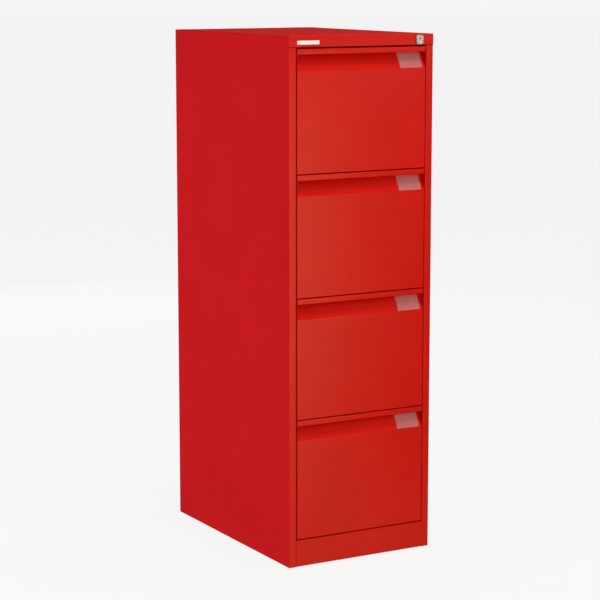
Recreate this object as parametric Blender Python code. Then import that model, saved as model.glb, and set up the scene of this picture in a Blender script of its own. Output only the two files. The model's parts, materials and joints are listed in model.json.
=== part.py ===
"""Four-drawer steel filing cabinet with flush fronts, finger-pull lips and one central lock.

Units are metres. +Z is up, the drawers open towards -Y, and the origin is the centre of the
footprint, on the floor. Drawer pieces are drawn in their drawer's own frame: x from the middle
of the cabinet, y backwards from the front plane, and z up from the gap above the drawer, so
all their heights are negative. Every folded piece is a constant-thickness strip with rounded bends.
"""

import math

import bmesh
import bpy

# ---- Driving dimensions -------------------------------------------------------------------

HEIGHT = 1.321
WIDTH = 0.413
CARCASS_DEPTH = 0.617
LOCK_PROJECTION = 0.005
DRAWER_COUNT = 4
DRAWER_PITCH = 0.3052
CLEARANCE = 0.0003

DEPTH = CARCASS_DEPTH + LOCK_PROJECTION
BACK = DEPTH / 2
FRONT = LOCK_PROJECTION - BACK
HALF_WIDTH = WIDTH / 2

# Carcass
SHELL_SHEET = 0.0008
SHELL_BEND = 0.0012
SHELL_LIFT = 0.001
STILE_SETBACK = 0.0003
STILE_WIDTH = 0.0205
STILE_RETURN = 0.045
REAR_RETURN = 0.016
HEADER_HEIGHT = 0.0277
HEADER_RETURN = 0.018
HEADER_GAP = 0.002
PLINTH_HEIGHT = 0.069
PLINTH_TOP_RETURN = 0.044
PLINTH_BOTTOM_RETURN = 0.021
BASE_HEIGHT = 0.050
BASE_FLANGE = 0.020
BASE_SHEET = 0.001
POST_SHEET = 0.0012
POST_DEPTH = 0.0466
POST_FOOT = 0.002
POST_TOP = 1.300

OPENING_HALF = HALF_WIDTH - STILE_WIDTH
SHELL_INNER = HALF_WIDTH - SHELL_SHEET
STILE_FRONT = FRONT + STILE_SETBACK
STILE_BACK = FRONT + STILE_RETURN
HEADER_BOTTOM = HEIGHT - HEADER_HEIGHT
SIDE_TOP = HEIGHT - SHELL_SHEET - CLEARANCE
FIRST_GAP = HEADER_BOTTOM - HEADER_GAP
POST_FRONT = BACK - SHELL_SHEET * 2 - CLEARANCE * 2 - POST_DEPTH
POST_BACK = POST_FRONT + POST_DEPTH

# Drawer front, in the drawer's frame
FRONT_SHEET = 0.0008
FRONT_HALF = 0.1842
FRONT_TOP = -0.0012
FRONT_FLOOR_GAP = 0.001
FRONT_BOTTOM = FRONT_FLOOR_GAP - DRAWER_PITCH
FRONT_EDGE_RADIUS = 0.0012
LIP_BOTTOM = -0.0148
LIP_THICKNESS = 0.0020
LIP_ROUND = 0.0006
POCKET_DEPTH = 0.0205
CREASE_HEIGHT = -0.0528
CREASE_RADIUS = 0.008
POCKET_RADIUS = 0.003
SLOPE_ANGLE = math.radians(29.4)
PAN_DEPTH = POCKET_DEPTH + FRONT_SHEET

# Drawer tray and its file rails
TRAY_SHEET = 0.0007
TRAY_BEND = 0.0008
TRAY_HALF = 0.1725
TRAY_LENGTH = 0.560
TRAY_BOTTOM = -0.298
TRAY_FRONT = PAN_DEPTH + CLEARANCE
TRAY_BACK = TRAY_FRONT + TRAY_LENGTH
TRAY_FRONT_TOP = -0.006
TRAY_BACK_TOP = -0.060
RAIL_HALF = 0.165
RAIL_TOP = -0.045
RAIL_FOLD = -0.055

# Telescopic slides: three nested channels on each side of a drawer
SLIDE_SHEET = 0.0012
SLIDE_BEND = 0.0006
SLIDE_LENGTH = 0.549
SLIDE_FRONT = 0.0331
SLIDE_HEIGHT = -0.180
OUTER_WEB = OPENING_HALF - CLEARANCE
OUTER_TIP = 0.1742
OUTER_HALF_HEIGHT = 0.02285
OUTER_LIP = 0.0034
MIDDLE_WEB = 0.1828
MIDDLE_TIP = 0.1746
MIDDLE_HALF_HEIGHT = 0.01825
INNER_WEB = TRAY_HALF + CLEARANCE
INNER_TIP = 0.180
INNER_HALF_HEIGHT = 0.013

# Label holder: a clear cover that stands off the slope of the finger recess
LABEL_CENTRE = 0.141
LABEL_WIDTH = 0.065
LABEL_WALL = 0.0013
LABEL_STAND = 0.0048
LABEL_PROUD = 0.0013
LABEL_TOP = -0.0156
LABEL_SHOULDER = -0.0180
LABEL_BOTTOM = -0.0536
LABEL_LEDGE = -0.0440

# Lock, its cam and the locking bar behind the right stile
LOCK_X = 0.1648
LOCK_DROP = 0.0144
LOCK_Z = HEIGHT - LOCK_DROP
BEZEL_HALF_WIDTH = 0.01025
BEZEL_HALF_HEIGHT = 0.01165
BEZEL_POWER = 4.0
BEZEL_ROUND = 0.0012
BARREL_RADIUS = 0.0095
BARREL_LENGTH = 0.026
BARREL_BACK = FRONT + BARREL_LENGTH
PLUG_RADIUS = 0.0063
PLUG_CLEARANCE = 0.0001
PLUG_RECESS = 0.0005
KEYWAY_WIDTH = 0.0020
KEYWAY_LOW = -0.0012
KEYWAY_HIGH = 0.0050
KEYWAY_DEPTH = 0.004
HEADER_HOLE_RADIUS = BARREL_RADIUS + CLEARANCE
CLIP_RADIUS = 0.0118
CLIP_SHEET = 0.0012
CLIP_START = math.radians(-225)
CLIP_END = math.radians(45)
CAM_SHEET = 0.0015
CAM_HUB_RADIUS = 0.0075
CAM_BOSS_RADIUS = 0.0038
CAM_PIN_RADIUS = 0.0020
CAM_REACH = 0.009
CAM_START = math.radians(-45)
BAR_SHEET = 0.0015
BAR_DEPTH = 0.030
BAR_FRONT = FRONT + BAR_DEPTH
BAR_INNER = 0.1885
BAR_OUTER = 0.2020
BAR_FOOT = 0.245
BAR_ARM_TIP = 0.1650
BAR_ARM_HALF = 0.0054
BAR_SLOT_CLEARANCE = 0.00045
HOOK_TIP = 0.1755
HOOK_HEIGHT = 0.012
HOOK_GAP = 0.0015
GUIDE_SHEET = 0.0012
GUIDE_GAP = 0.0007
GUIDE_REACH = 0.0102
GUIDE_HEIGHT = 0.030
GUIDE_FEET = {"upper": 1.235, "lower": 0.320}
SLOT_MARGIN = 0.0015
BAR_BACK = BAR_FRONT + BAR_SHEET
BAR_TRAVEL = -2 * CAM_REACH * math.sin(CAM_START)

# Catch bracket on each drawer, which the bar's hook stands in front of when locked
CATCH_GAP = 0.0014
CATCH_FRONT = BAR_BACK + CATCH_GAP
CATCH_LENGTH = 0.020
CATCH_SHEET = 0.002
CATCH_TIP = 0.184
CATCH_BOTTOM = -0.104
CATCH_TOP = -0.096

# Badge, feet
BADGE_CENTRE_X = -0.15325
BADGE_DROP = 0.016
BADGE_CENTRE_Z = HEIGHT - BADGE_DROP
BADGE_WIDTH = 0.0615
BADGE_HEIGHT = 0.0095
BADGE_SHEET = 0.0008
BADGE_CORNER = 0.0015
FOOT_X = 0.180
FOOT_Y = 0.240
FOOT_PAD_RADIUS = 0.015
FOOT_PAD_HEIGHT = 0.0065
FOOT_CHAMFER = 0.001
FOOT_SCREW_RADIUS = 0.0049
FOOT_SCREW_TOP = 0.059

# Roundness
BEND_STEPS = 3
ROUND_STEPS = 32
ARC_STEPS = 6
SHARP_ANGLE = math.radians(30)
OVERCUT = 0.001


# ---- Outlines -----------------------------------------------------------------------------

def arc(centre, radius, start, end, steps):
    """Points on an arc, from start to end, both included."""
    points = []
    for step in range(steps + 1):
        angle = start + (end - start) * step / steps
        points.append((centre[0] + radius * math.cos(angle), centre[1] + radius * math.sin(angle)))
    return points


def circle(centre, radius, steps=ROUND_STEPS):
    return arc(centre, radius, 0, math.tau, steps)[:-1]


def superellipse(centre, half_width, half_height, power, steps=ROUND_STEPS):
    """A rectangle with generously rounded corners, the shape of the lock's bezel."""
    points = []
    for step in range(steps):
        angle = math.tau * step / steps
        cosine, sine = math.cos(angle), math.sin(angle)
        across = math.copysign(abs(cosine) ** (2 / power), cosine)
        upward = math.copysign(abs(sine) ** (2 / power), sine)
        points.append((centre[0] + half_width * across, centre[1] + half_height * upward))
    return points


def rounded_rectangle(centre, width, height, radius):
    across = width / 2 - radius
    upward = height / 2 - radius
    points = []
    for quarter, (sign_x, sign_z) in enumerate(((1, 1), (-1, 1), (-1, -1), (1, -1))):
        corner = (centre[0] + sign_x * across, centre[1] + sign_z * upward)
        start = quarter * math.pi / 2
        points += arc(corner, radius, start, start + math.pi / 2, BEND_STEPS)
    return points


def bend(before, corner, after, radius):
    """Centre, start angle and turn of the arc that rounds a corner of a path."""
    incoming = math.atan2(corner[1] - before[1], corner[0] - before[0])
    outgoing = math.atan2(after[1] - corner[1], after[0] - corner[0])
    turn = math.remainder(outgoing - incoming, math.tau)
    setback = radius * math.tan(abs(turn) / 2)
    side = math.copysign(1, turn)
    normal = incoming + side * math.pi / 2
    centre = (corner[0] - setback * math.cos(incoming) + radius * math.cos(normal),
              corner[1] - setback * math.sin(incoming) + radius * math.sin(normal))
    return centre, normal + math.pi, turn


def folded_strip(path, sheet, inner_radius, side):
    """Outline of a sheet folded along a path.

    The path is one face of the sheet. The sheet's thickness lies to the path's left when side
    is 1 and to its right when side is -1. Each corner is a bend with the given inner radius.
    """
    face, back = [], []

    def add_end(point, neighbour, direction):
        heading = math.atan2(neighbour[1] - point[1], neighbour[0] - point[0])
        if direction < 0:
            heading += math.pi
        normal = heading + side * math.pi / 2
        face.append(point)
        back.append((point[0] + sheet * math.cos(normal), point[1] + sheet * math.sin(normal)))

    add_end(path[0], path[1], 1)
    for before, corner, after in zip(path, path[1:], path[2:]):
        cross = ((corner[0] - before[0]) * (after[1] - corner[1])
                 - (corner[1] - before[1]) * (after[0] - corner[0]))
        sheet_inside = cross * side > 0
        face_radius = inner_radius + sheet if sheet_inside else inner_radius
        back_radius = inner_radius if sheet_inside else inner_radius + sheet
        centre, start, turn = bend(before, corner, after, face_radius)
        face.extend(arc(centre, face_radius, start, start + turn, BEND_STEPS))
        back.extend(arc(centre, back_radius, start, start + turn, BEND_STEPS))
    add_end(path[-1], path[-2], -1)
    return face + back[::-1]


def mirrored(outline):
    """The same outline on the other side of the cabinet's middle plane."""
    return [(-x, other) for x, other in outline]


def shifted(outline, across, upward):
    return [(u + across, v + upward) for u, v in outline]


# ---- Bodies -------------------------------------------------------------------------------

def loft(rings):
    """A closed body through rings of equal length, capped at both ends."""
    body = bmesh.new()
    loops = [[body.verts.new(point) for point in ring] for ring in rings]
    count = len(loops[0])
    for low, high in zip(loops, loops[1:]):
        for index in range(count):
            following = (index + 1) % count
            body.faces.new((low[index], low[following], high[following], high[index]))
    body.faces.new(loops[0][::-1])
    body.faces.new(loops[-1])
    bmesh.ops.recalc_face_normals(body, faces=body.faces[:])
    return body


def ring_at(outline, axis, position):
    """Place a flat outline in space; it holds the two coordinates other than the axis."""
    points = []
    for first, second in outline:
        coordinates = [first, second]
        coordinates.insert("XYZ".index(axis), position)
        points.append(tuple(coordinates))
    return points


def prism(outline, axis, low, high):
    return loft([ring_at(outline, axis, low), ring_at(outline, axis, high)])


def box(low, high):
    outline = [(low[0], low[1]), (high[0], low[1]), (high[0], high[1]), (low[0], high[1])]
    return prism(outline, "Z", low[2], high[2])


def hull(first, second):
    """The convex hull of two bodies; both are used up."""
    body = bmesh.new()
    for part in (first, second):
        for vertex in part.verts:
            body.verts.new(vertex.co)
        part.free()
    result = bmesh.ops.convex_hull(body, input=body.verts[:])
    spare = [item for item in result["geom_interior"] if isinstance(item, bmesh.types.BMVert)]
    bmesh.ops.delete(body, geom=spare, context="VERTS")
    bmesh.ops.recalc_face_normals(body, faces=body.faces[:])
    return body


def to_mesh(body, name):
    mesh = bpy.data.meshes.new(name)
    body.to_mesh(mesh)
    body.free()
    return mesh


def combined(body, tools, operation, name):
    """Cut tools from a body, or join them to it, and return the finished mesh."""
    holder = bpy.data.objects.new(name, to_mesh(body, name))
    bpy.context.scene.collection.objects.link(holder)
    helpers = []
    for tool in tools:
        helper = bpy.data.objects.new("tool", to_mesh(tool, "tool"))
        bpy.context.scene.collection.objects.link(helper)
        modifier = holder.modifiers.new("combine", "BOOLEAN")
        modifier.solver = "EXACT"
        modifier.operation = operation
        modifier.object = helper
        helpers.append(helper)
    evaluated = holder.evaluated_get(bpy.context.evaluated_depsgraph_get())
    mesh = bpy.data.meshes.new_from_object(evaluated)
    mesh.name = name
    for used in [holder] + helpers:
        bpy.data.objects.remove(used)
    return mesh


def cut(body, tools, name):
    return combined(body, tools, "DIFFERENCE", name)


def joined(body, tools, name):
    return combined(body, tools, "UNION", name)


# ---- Materials and placing ----------------------------------------------------------------

def material(name, colour, roughness, metallic, alpha=1.0):
    finish = bpy.data.materials.new(name)
    finish.use_nodes = True
    shader = finish.node_tree.nodes["Principled BSDF"]
    shader.inputs["Base Color"].default_value = (*colour, 1.0)
    shader.inputs["Roughness"].default_value = roughness
    shader.inputs["Metallic"].default_value = metallic
    shader.inputs["Alpha"].default_value = alpha
    return finish


def empty(name, location, parent=None):
    holder = bpy.data.objects.new(name, None)
    holder.location = location
    holder.parent = parent
    bpy.context.scene.collection.objects.link(holder)
    return holder


def place(name, mesh, finish, parent):
    """Add one named piece; its mesh is drawn in the frame of its parent."""
    mesh.materials.clear()
    mesh.materials.append(finish)
    mesh.shade_smooth()
    mesh.set_sharp_from_angle(angle=SHARP_ANGLE)
    piece = bpy.data.objects.new(name, mesh)
    piece.parent = parent
    bpy.context.scene.collection.objects.link(piece)
    return piece


# ---- Carcass ------------------------------------------------------------------------------

def side_outline():
    """Right side seen from above: front return, stile, side wall and rear return."""
    path = [(OPENING_HALF, STILE_BACK), (OPENING_HALF, STILE_FRONT), (HALF_WIDTH, STILE_FRONT),
            (HALF_WIDTH, BACK), (HALF_WIDTH - REAR_RETURN, BACK)]
    return folded_strip(path, SHELL_SHEET, SHELL_BEND, 1)


def header_cutters(sign):
    """Remove the stile above the drawers, where the header stands instead."""
    stile_top = HEADER_BOTTOM - CLEARANCE
    behind_header = FRONT + SHELL_SHEET + 2 * CLEARANCE
    inside = SHELL_INNER - SHELL_BEND - OVERCUT
    cutters = []
    for outer, rear in ((inside, STILE_BACK + OVERCUT), (HALF_WIDTH + OVERCUT, behind_header)):
        edges = sorted((sign * (OPENING_HALF - OVERCUT), sign * outer))
        cutters.append(box((edges[0], FRONT - OVERCUT, stile_top),
                           (edges[1], rear, HEIGHT + OVERCUT)))
    return cutters


def hook_height(drawer):
    """Lower edge of the bar's hook, which waits just below a drawer's catch while the lock is open."""
    return drawer_level(drawer) + CATCH_BOTTOM - HOOK_GAP - HOOK_HEIGHT


def hook_slot(drawer):
    """Opening in the stile's return that one hook of the locking bar passes through."""
    lower = hook_height(drawer) - SLOT_MARGIN
    upper = hook_height(drawer) + HOOK_HEIGHT + BAR_TRAVEL + SLOT_MARGIN
    return box((OPENING_HALF - OVERCUT, BAR_FRONT - SLOT_MARGIN, lower),
               (OPENING_HALF + SHELL_SHEET + OVERCUT, BAR_BACK + SLOT_MARGIN, upper))


def left_side_panel():
    body = prism(mirrored(side_outline()), "Z", SHELL_LIFT, SIDE_TOP)
    return cut(body, header_cutters(-1), "left_side_panel")


def right_side_panel():
    body = prism(side_outline(), "Z", SHELL_LIFT, SIDE_TOP)
    slots = [hook_slot(drawer) for drawer in range(DRAWER_COUNT)]
    return cut(body, header_cutters(1) + slots, "right_side_panel")


def top_panel():
    """Top sheet with the header folded down from its front edge."""
    path = [(BACK, HEIGHT), (FRONT, HEIGHT), (FRONT, HEADER_BOTTOM),
            (FRONT + HEADER_RETURN, HEADER_BOTTOM)]
    outline = folded_strip(path, SHELL_SHEET, SHELL_BEND, 1)
    body = prism(outline, "X", -HALF_WIDTH, HALF_WIDTH)
    behind_header = FRONT + SHELL_SHEET + CLEARANCE
    cutters = [prism(circle((LOCK_X, LOCK_Z), HEADER_HOLE_RADIUS), "Y",
                     FRONT - OVERCUT, behind_header)]
    for sign in (-1, 1):
        edges = sorted((sign * (SHELL_INNER - SHELL_BEND), sign * (HALF_WIDTH + OVERCUT)))
        cutters.append(box((edges[0], behind_header, HEADER_BOTTOM - OVERCUT),
                           (edges[1], FRONT + HEADER_RETURN + OVERCUT, SIDE_TOP)))
    return cut(body, cutters, "top_panel")


def back_panel():
    rear = BACK - SHELL_SHEET - CLEARANCE
    half = SHELL_INNER - SHELL_BEND
    body = box((-half, rear - SHELL_SHEET, SHELL_LIFT), (half, rear, SIDE_TOP))
    return to_mesh(body, "back_panel")


def plinth_rail():
    path = [(STILE_FRONT + PLINTH_BOTTOM_RETURN, SHELL_LIFT), (STILE_FRONT, SHELL_LIFT),
            (STILE_FRONT, PLINTH_HEIGHT), (STILE_FRONT + PLINTH_TOP_RETURN, PLINTH_HEIGHT)]
    outline = folded_strip(path, SHELL_SHEET, SHELL_BEND, -1)
    half = OPENING_HALF - CLEARANCE
    return to_mesh(prism(outline, "X", -half, half), "plinth_rail")


def base_pan():
    """Floor of the carcass, carried clear of the ground, with a hole for each foot."""
    front = STILE_BACK + CLEARANCE
    rear = POST_FRONT - CLEARANCE
    low = BASE_HEIGHT - BASE_FLANGE
    path = [(front, low), (front, BASE_HEIGHT), (rear, BASE_HEIGHT), (rear, low)]
    outline = folded_strip(path, BASE_SHEET, SHELL_BEND, -1)
    half = SHELL_INNER - CLEARANCE
    holes = []
    for x, y in foot_places().values():
        hole = circle((x, y), FOOT_SCREW_RADIUS + CLEARANCE)
        holes.append(prism(hole, "Z", BASE_HEIGHT - BASE_FLANGE, BASE_HEIGHT + OVERCUT))
    return cut(prism(outline, "X", -half, half), holes, "base_pan")


def rear_post_outline():
    """Angle that carries the back ends of the right-hand slides."""
    path = [(OPENING_HALF, POST_FRONT), (OPENING_HALF, POST_BACK),
            (SHELL_INNER - CLEARANCE, POST_BACK)]
    return folded_strip(path, POST_SHEET, SHELL_BEND, -1)


def foot_places():
    places = {}
    for side, x in (("left", -FOOT_X), ("right", FOOT_X)):
        for end, y in (("front", -FOOT_Y), ("rear", FOOT_Y)):
            places[f"{end}_{side}"] = (x, y)
    return places


def levelling_foot(place_xy):
    """Round pad and the screw that passes up through the base pan."""
    stages = [(FOOT_PAD_RADIUS - FOOT_CHAMFER, 0), (FOOT_PAD_RADIUS, FOOT_CHAMFER),
              (FOOT_PAD_RADIUS, FOOT_PAD_HEIGHT - FOOT_CHAMFER),
              (FOOT_PAD_RADIUS - FOOT_CHAMFER, FOOT_PAD_HEIGHT),
              (FOOT_SCREW_RADIUS, FOOT_PAD_HEIGHT + FOOT_CHAMFER),
              (FOOT_SCREW_RADIUS, FOOT_SCREW_TOP - FOOT_CHAMFER),
              (FOOT_SCREW_RADIUS - FOOT_CHAMFER, FOOT_SCREW_TOP)]
    rings = [ring_at(circle(place_xy, radius), "Z", z) for radius, z in stages]
    return to_mesh(loft(rings), "levelling_foot")


def badge_plate():
    outline = rounded_rectangle((BADGE_CENTRE_X, BADGE_CENTRE_Z), BADGE_WIDTH, BADGE_HEIGHT,
                                BADGE_CORNER)
    rear = FRONT - CLEARANCE
    return to_mesh(prism(outline, "Y", rear - BADGE_SHEET, rear), "badge_plate")


# ---- Lock and locking bar -----------------------------------------------------------------

def lock_barrel():
    """Bezel in front of the header, and the barrel that passes through it."""
    centre = (LOCK_X, LOCK_Z)
    face = FRONT - LOCK_PROJECTION
    rear = FRONT - CLEARANCE
    full = superellipse(centre, BEZEL_HALF_WIDTH, BEZEL_HALF_HEIGHT, BEZEL_POWER)
    small = superellipse(centre, BEZEL_HALF_WIDTH - BEZEL_ROUND, BEZEL_HALF_HEIGHT - BEZEL_ROUND,
                         BEZEL_POWER)
    bezel = loft([ring_at(small, "Y", face), ring_at(full, "Y", face + BEZEL_ROUND),
                  ring_at(full, "Y", rear)])
    barrel = prism(circle(centre, BARREL_RADIUS), "Y", rear - OVERCUT, BARREL_BACK)
    solid = bmesh.new()
    solid.from_mesh(joined(bezel, [barrel], "lock_barrel"))
    bore = prism(circle(centre, PLUG_RADIUS + PLUG_CLEARANCE), "Y", face - OVERCUT,
                 BARREL_BACK + OVERCUT)
    return cut(solid, [bore], "lock_barrel")


def lock_clip():
    """Horseshoe spring that holds the barrel against the header from behind."""
    centre = (LOCK_X, LOCK_Z)
    outer = arc(centre, CLIP_RADIUS, CLIP_START, CLIP_END, ROUND_STEPS)
    inner = arc(centre, HEADER_HOLE_RADIUS, CLIP_END, CLIP_START, ROUND_STEPS)
    front = FRONT + SHELL_SHEET + CLEARANCE
    return to_mesh(prism(outer + inner, "Y", front, front + CLIP_SHEET), "lock_clip")


def lock_plug():
    """Turning cylinder, drawn about the lock's axis, with an upright keyway in its face."""
    face = FRONT - LOCK_PROJECTION + PLUG_RECESS
    body = prism(circle((0, 0), PLUG_RADIUS), "Y", face, BARREL_BACK)
    keyway = box((-KEYWAY_WIDTH / 2, face - OVERCUT, KEYWAY_LOW),
                 (KEYWAY_WIDTH / 2, face + KEYWAY_DEPTH, KEYWAY_HIGH))
    return cut(body, [keyway], "lock_plug")


def cam_pin_centre():
    """Place of the cam's pin with the lock open, from the lock's axis."""
    return (CAM_REACH * math.cos(CAM_START), CAM_REACH * math.sin(CAM_START))


def lock_cam():
    """Arm on the back of the plug, with the pin that works the locking bar."""
    front = BARREL_BACK + CLEARANCE
    rear = front + CAM_SHEET
    hub = prism(circle((0, 0), CAM_HUB_RADIUS), "Y", front, rear)
    boss = prism(circle(cam_pin_centre(), CAM_BOSS_RADIUS), "Y", front, rear)
    pin = prism(circle(cam_pin_centre(), CAM_PIN_RADIUS), "Y", front + CAM_SHEET / 2,
                BAR_BACK + 2 * OVERCUT)
    return joined(hull(hub, boss), [pin], "lock_cam")


def lock_bar():
    """Flat bar with a slotted arm for the cam and one hook for each drawer."""
    pin_x, pin_z = cam_pin_centre()
    arm_level = LOCK_Z + pin_z
    outline = [(BAR_INNER, BAR_FOOT), (BAR_OUTER, BAR_FOOT), (BAR_OUTER, arm_level + BAR_ARM_HALF),
               (BAR_ARM_TIP, arm_level + BAR_ARM_HALF), (BAR_ARM_TIP, arm_level - BAR_ARM_HALF),
               (BAR_INNER, arm_level - BAR_ARM_HALF)]
    for drawer in range(DRAWER_COUNT):
        lower = hook_height(drawer)
        upper = lower + HOOK_HEIGHT
        outline += [(BAR_INNER, upper), (HOOK_TIP, upper), (HOOK_TIP, lower), (BAR_INNER, lower)]
    half_slot = CAM_PIN_RADIUS + BAR_SLOT_CLEARANCE
    near = LOCK_X + pin_x - BAR_SLOT_CLEARANCE
    far = LOCK_X + CAM_REACH + BAR_SLOT_CLEARANCE
    slot = (arc((far, arm_level), half_slot, -math.pi / 2, math.pi / 2, ARC_STEPS)
            + arc((near, arm_level), half_slot, math.pi / 2, 3 * math.pi / 2, ARC_STEPS))
    hole = prism(slot, "Y", BAR_FRONT - OVERCUT, BAR_BACK + OVERCUT)
    return cut(prism(outline, "Y", BAR_FRONT, BAR_BACK), [hole], "lock_bar")


def bar_guide(name, foot):
    """Clip on the side wall that keeps the locking bar upright."""
    front = BAR_FRONT - GUIDE_GAP - GUIDE_SHEET
    rear = BAR_BACK + GUIDE_GAP + GUIDE_SHEET
    wall = SHELL_INNER - CLEARANCE
    path = [(wall - GUIDE_REACH, front), (wall, front), (wall, rear), (wall - GUIDE_REACH, rear)]
    outline = folded_strip(path, GUIDE_SHEET, SLIDE_BEND, 1)
    return to_mesh(prism(outline, "Z", foot, foot + GUIDE_HEIGHT), name)


# ---- Drawers ------------------------------------------------------------------------------

def drawer_level(drawer):
    """Height of the gap above a drawer, counted from the top one."""
    return FIRST_GAP - drawer * DRAWER_PITCH


def slope_depth(z):
    """How far the sloping face of the finger recess lies behind the front plane."""
    return (z - CREASE_HEIGHT) * math.tan(SLOPE_ANGLE)


def recess_outline():
    """Empty space of the finger recess: the slope, and the pocket behind the lip."""
    pocket_top = FRONT_TOP - FRONT_SHEET
    corner_z = CREASE_HEIGHT + POCKET_DEPTH / math.tan(SLOPE_ANGLE)
    crease = (0.0, CREASE_HEIGHT)
    corner = (POCKET_DEPTH, corner_z)
    lip = [(-OVERCUT, LIP_BOTTOM + LIP_ROUND + OVERCUT), (0.0, LIP_BOTTOM + LIP_ROUND),
           (LIP_ROUND, LIP_BOTTOM), (LIP_THICKNESS - LIP_ROUND, LIP_BOTTOM),
           (LIP_THICKNESS, LIP_BOTTOM + LIP_ROUND), (LIP_THICKNESS, pocket_top)]
    centre, start, turn = bend((POCKET_DEPTH, pocket_top), corner, crease, POCKET_RADIUS)
    upper = arc(centre, POCKET_RADIUS, start, start + turn, BEND_STEPS)
    centre, start, turn = bend(corner, crease, (0.0, FRONT_BOTTOM), CREASE_RADIUS)
    lower = arc(centre, CREASE_RADIUS, start, start + turn, ARC_STEPS)
    last, before = lower[-1], lower[-2]
    run = OVERCUT / (before[0] - last[0])
    way_out = (-OVERCUT, last[1] + (last[1] - before[1]) * run)
    return lip + [(POCKET_DEPTH, pocket_top)] + upper + lower + [way_out]


def behind_outline():
    """Empty space behind the front sheet, below the finger recess."""
    cosine, sine = math.cos(SLOPE_ANGLE), math.sin(SLOPE_ANGLE)
    along = FRONT_SHEET * (1 - cosine) / sine
    crease_z = CREASE_HEIGHT - FRONT_SHEET * sine + along * cosine
    rear = PAN_DEPTH + OVERCUT
    rear_z = crease_z + (rear - FRONT_SHEET) / math.tan(SLOPE_ANGLE)
    floor = FRONT_BOTTOM + FRONT_SHEET
    return [(FRONT_SHEET, floor), (FRONT_SHEET, crease_z), (rear, rear_z), (rear, floor)]


def drawer_front():
    """Folded front with rounded edges, side flanges, the recess and its overhanging lip."""
    body = box((-FRONT_HALF, 0, FRONT_BOTTOM), (FRONT_HALF, PAN_DEPTH, FRONT_TOP))
    edges = []
    for edge in body.edges:
        if all(abs(vertex.co.y) < CLEARANCE for vertex in edge.verts):
            edges.append(edge)
    bmesh.ops.bevel(body, geom=edges, offset=FRONT_EDGE_RADIUS, segments=BEND_STEPS, profile=0.5,
                    affect="EDGES")
    half = FRONT_HALF - FRONT_SHEET
    return cut(body, [prism(recess_outline(), "X", -half, half),
                      prism(behind_outline(), "X", -half, half)], "drawer_front")


def drawer_tray():
    """Open box hung between the slides; its folded side tops are the file rails."""
    path = [(-RAIL_HALF, RAIL_TOP), (-RAIL_HALF, RAIL_FOLD), (-TRAY_HALF, RAIL_FOLD),
            (-TRAY_HALF, TRAY_BOTTOM), (TRAY_HALF, TRAY_BOTTOM), (TRAY_HALF, RAIL_FOLD),
            (RAIL_HALF, RAIL_FOLD), (RAIL_HALF, RAIL_TOP)]
    outline = folded_strip(path, TRAY_SHEET, TRAY_BEND, 1)
    half_sheet = TRAY_SHEET / 2
    channel = prism(outline, "Y", TRAY_FRONT + half_sheet, TRAY_BACK - half_sheet)
    half = TRAY_HALF - half_sheet
    floor = TRAY_BOTTOM + half_sheet
    front_wall = box((-half, TRAY_FRONT, floor), (half, TRAY_FRONT + TRAY_SHEET, TRAY_FRONT_TOP))
    back_wall = box((-half, TRAY_BACK - TRAY_SHEET, floor), (half, TRAY_BACK, TRAY_BACK_TOP))
    return joined(channel, [front_wall, back_wall], "drawer_tray")


def label_holder():
    """Clear cover: a flat lower edge, then a window parallel to the slope behind it."""
    slant = math.tan(SLOPE_ANGLE)
    gap = CLEARANCE / math.cos(SLOPE_ANGLE)
    bend_z = CREASE_HEIGHT + (LABEL_STAND - LABEL_PROUD) / slant
    front_gap = -CLEARANCE
    back_bend_z = CREASE_HEIGHT + (front_gap + gap) / slant
    outline = [(-LABEL_PROUD, LABEL_BOTTOM), (-LABEL_PROUD, bend_z),
               (slope_depth(LABEL_TOP) - LABEL_STAND, LABEL_TOP),
               (slope_depth(LABEL_TOP) - LABEL_STAND / 2, LABEL_TOP),
               (slope_depth(LABEL_SHOULDER) - gap, LABEL_SHOULDER), (front_gap, back_bend_z),
               (front_gap, LABEL_BOTTOM)]
    window = LABEL_WALL / math.cos(SLOPE_ANGLE) - LABEL_STAND
    top = LABEL_TOP + OVERCUT
    rear = POCKET_DEPTH + OVERCUT
    hollow = [(slope_depth(LABEL_LEDGE) + window, LABEL_LEDGE), (slope_depth(top) + window, top),
              (rear, top), (rear, LABEL_LEDGE)]
    left = LABEL_CENTRE - LABEL_WIDTH / 2
    right = LABEL_CENTRE + LABEL_WIDTH / 2
    return cut(prism(outline, "X", left, right),
               [prism(hollow, "X", left + LABEL_WALL, right - LABEL_WALL)], "label_holder")


def catch_bracket():
    """Small angle on the tray's right side; the hook blocks its forward leg."""
    front = CATCH_FRONT - FRONT
    path = [(CATCH_TIP, front), (INNER_WEB, front), (INNER_WEB, front + CATCH_LENGTH)]
    outline = folded_strip(path, CATCH_SHEET, SLIDE_BEND, -1)
    return to_mesh(prism(outline, "Z", CATCH_BOTTOM, CATCH_TOP), "catch_bracket")


def slide_profiles():
    """Right-hand sections of a slide's three channels, about the slide's own height."""
    tall, mid, low = OUTER_HALF_HEIGHT, MIDDLE_HALF_HEIGHT, INNER_HALF_HEIGHT
    outer = [(OUTER_TIP, tall - OUTER_LIP), (OUTER_TIP, tall), (OUTER_WEB, tall),
             (OUTER_WEB, -tall), (OUTER_TIP, -tall), (OUTER_TIP, OUTER_LIP - tall)]
    middle = [(MIDDLE_TIP, mid), (MIDDLE_WEB, mid), (MIDDLE_WEB, -mid), (MIDDLE_TIP, -mid)]
    inner = [(INNER_TIP, low), (INNER_WEB, low), (INNER_WEB, -low), (INNER_TIP, -low)]
    return {"outer": folded_strip(outer, SLIDE_SHEET, SLIDE_BEND, -1),
            "middle": folded_strip(middle, SLIDE_SHEET, SLIDE_BEND, -1),
            "inner": folded_strip(inner, SLIDE_SHEET, SLIDE_BEND, 1)}


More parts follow.
